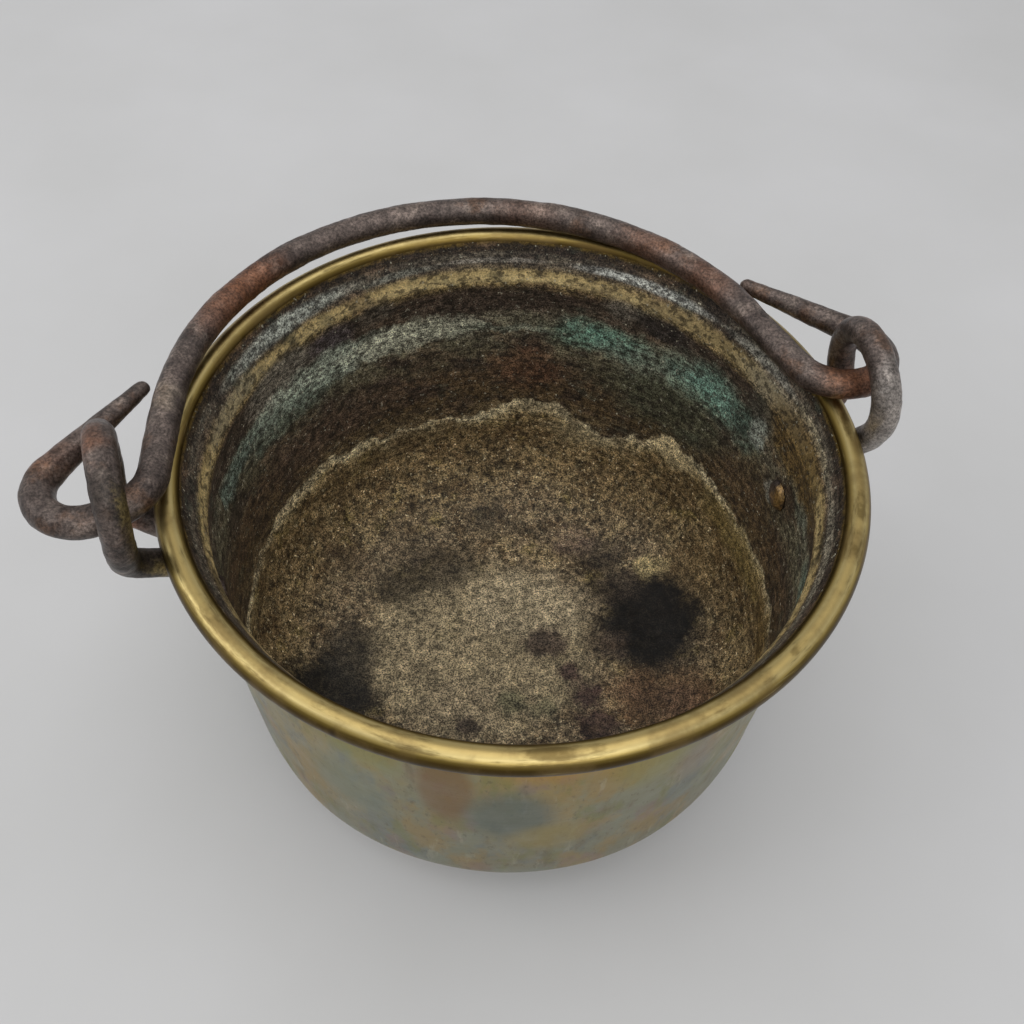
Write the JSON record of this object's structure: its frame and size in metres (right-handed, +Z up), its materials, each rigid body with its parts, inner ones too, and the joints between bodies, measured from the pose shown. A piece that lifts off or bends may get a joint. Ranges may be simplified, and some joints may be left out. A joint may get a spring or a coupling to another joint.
{
  "type": "pot",
  "caption": "Small spun brass pot with rounded bottom corner, necked shoulder and rolled rim; rod bail hooked through looped ears riveted to the side.",
  "frame": {"origin": "centre of the flat underside", "axes": "+Z up along the pot's axis, +Y towards the side the folded bail lies on, +X towards the right ear"},
  "size_m": [0.153, 0.129, 0.0973],
  "materials": {
    "brass_sheet": "aged satin brass, tarnished",
    "iron_rod": "dark forged iron with rust"
  },
  "bodies": {
    "pot": {"pot_body": "brass_sheet", "rim_wire": "iron_rod", "left_ear": "iron_rod", "right_ear": "iron_rod", "left_rivet": "iron_rod", "right_rivet": "iron_rod"},
    "bail": {"bail": "iron_rod"}
  },
  "joints": [
    {"name": "bail_swing", "type": "hinge", "parent": "pot", "child": "bail", "pos_m": [-0.0006, -0.00352, 0.0832], "axis": [0.9622, 0.2725, 0], "range_deg": [0, 180]}
  ]
}
